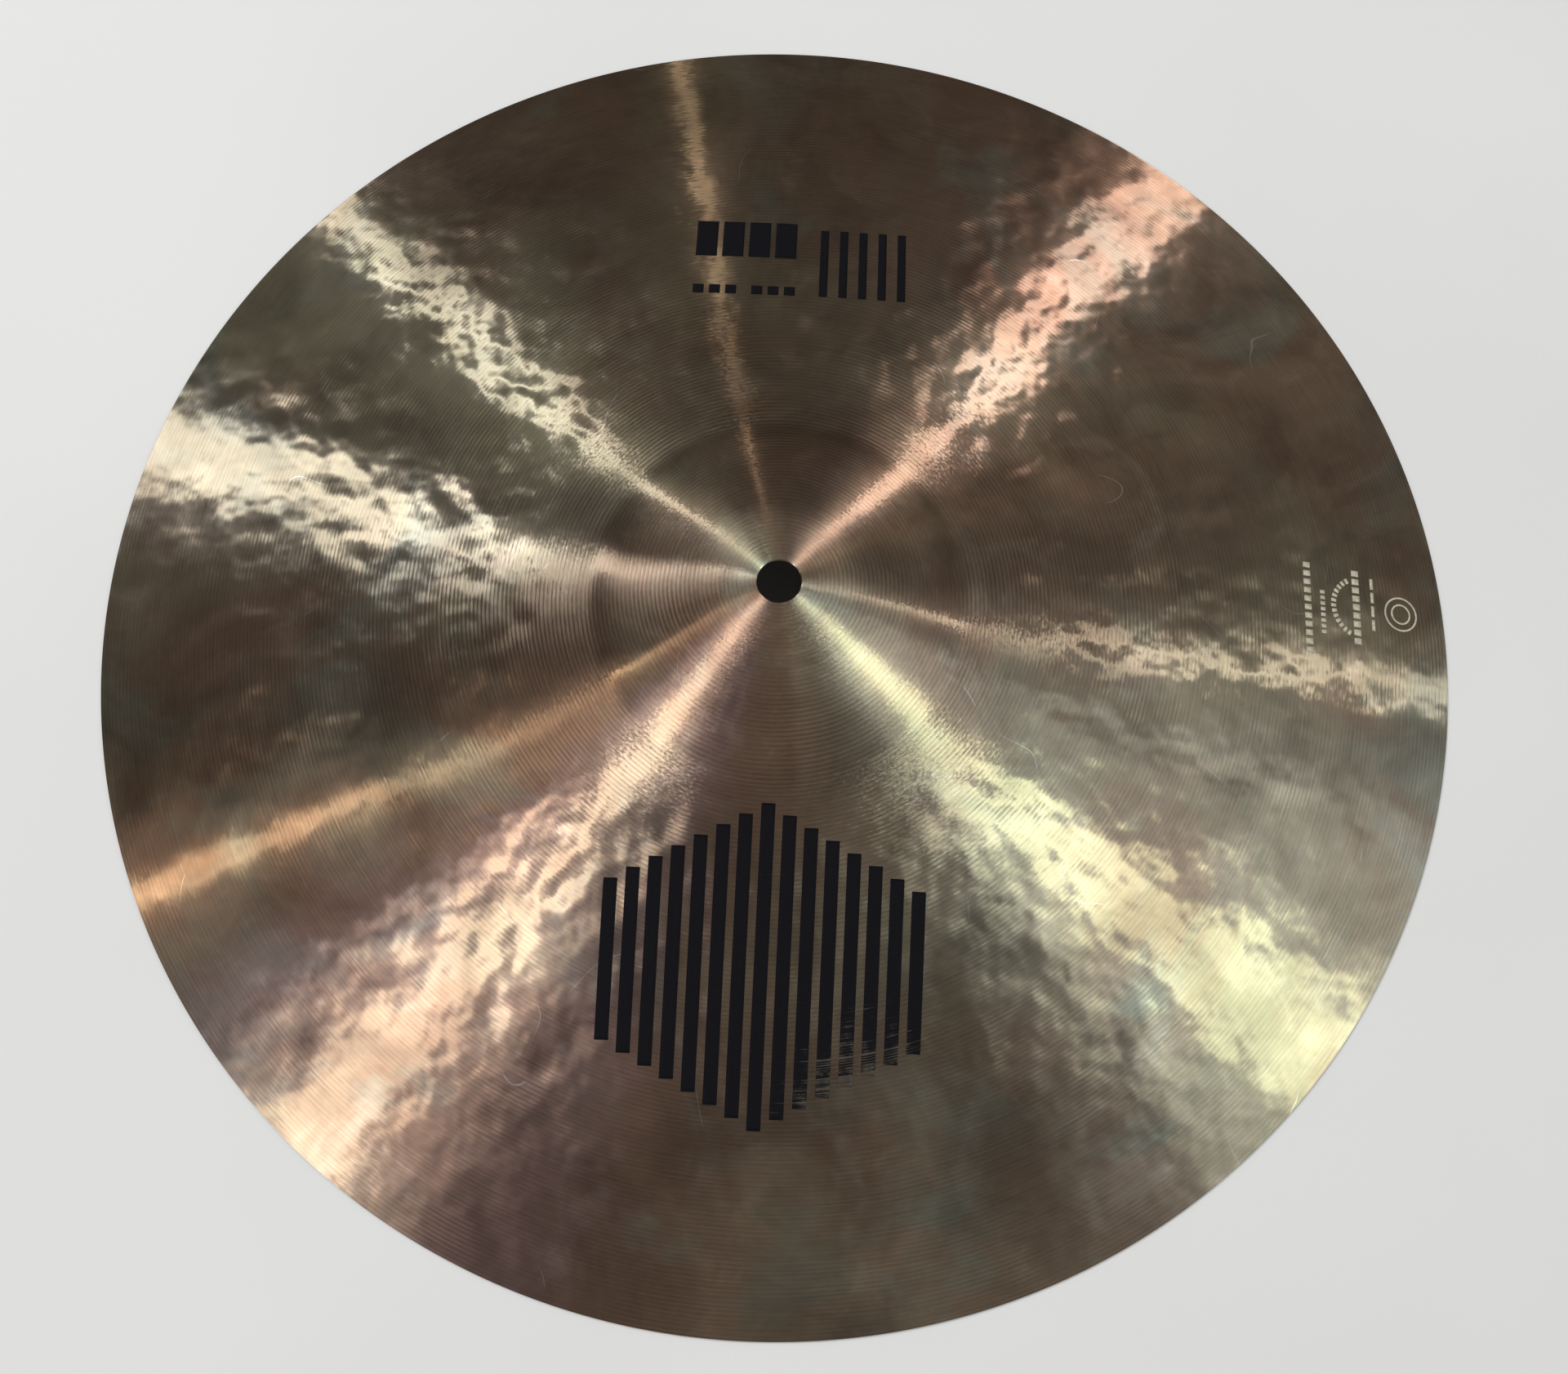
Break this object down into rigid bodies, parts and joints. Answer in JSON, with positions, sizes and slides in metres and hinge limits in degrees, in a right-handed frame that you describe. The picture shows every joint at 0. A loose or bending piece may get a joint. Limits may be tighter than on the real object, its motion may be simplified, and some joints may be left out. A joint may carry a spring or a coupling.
{
  "type": "crash cymbal",
  "caption": "Thin round crash cymbal in hammered and lathed bronze, with a domed bell, a shallow bow, a thin edge and a plain centre hole, lying rim down.",
  "frame": {"origin": "on the centre hole's axis, in the plane of the rim that the cymbal rests on", "axes": "+Z along the hole's axis, out through the top of the bell; +X to the right and +Y away from a player who reads the large printed mark upright"},
  "size_m": [0.4064, 0.4064, 0.044],
  "materials": {
    "bronze": "aged cast bronze, lathed in fine rings and hammered in shallow dimples, with an uneven dark patina",
    "ink": "thin matt black printing ink on the bronze, worn and scratched through in places"
  },
  "bodies": {
    "root": {"cymbal": "bronze"}
  },
  "joints": []
}
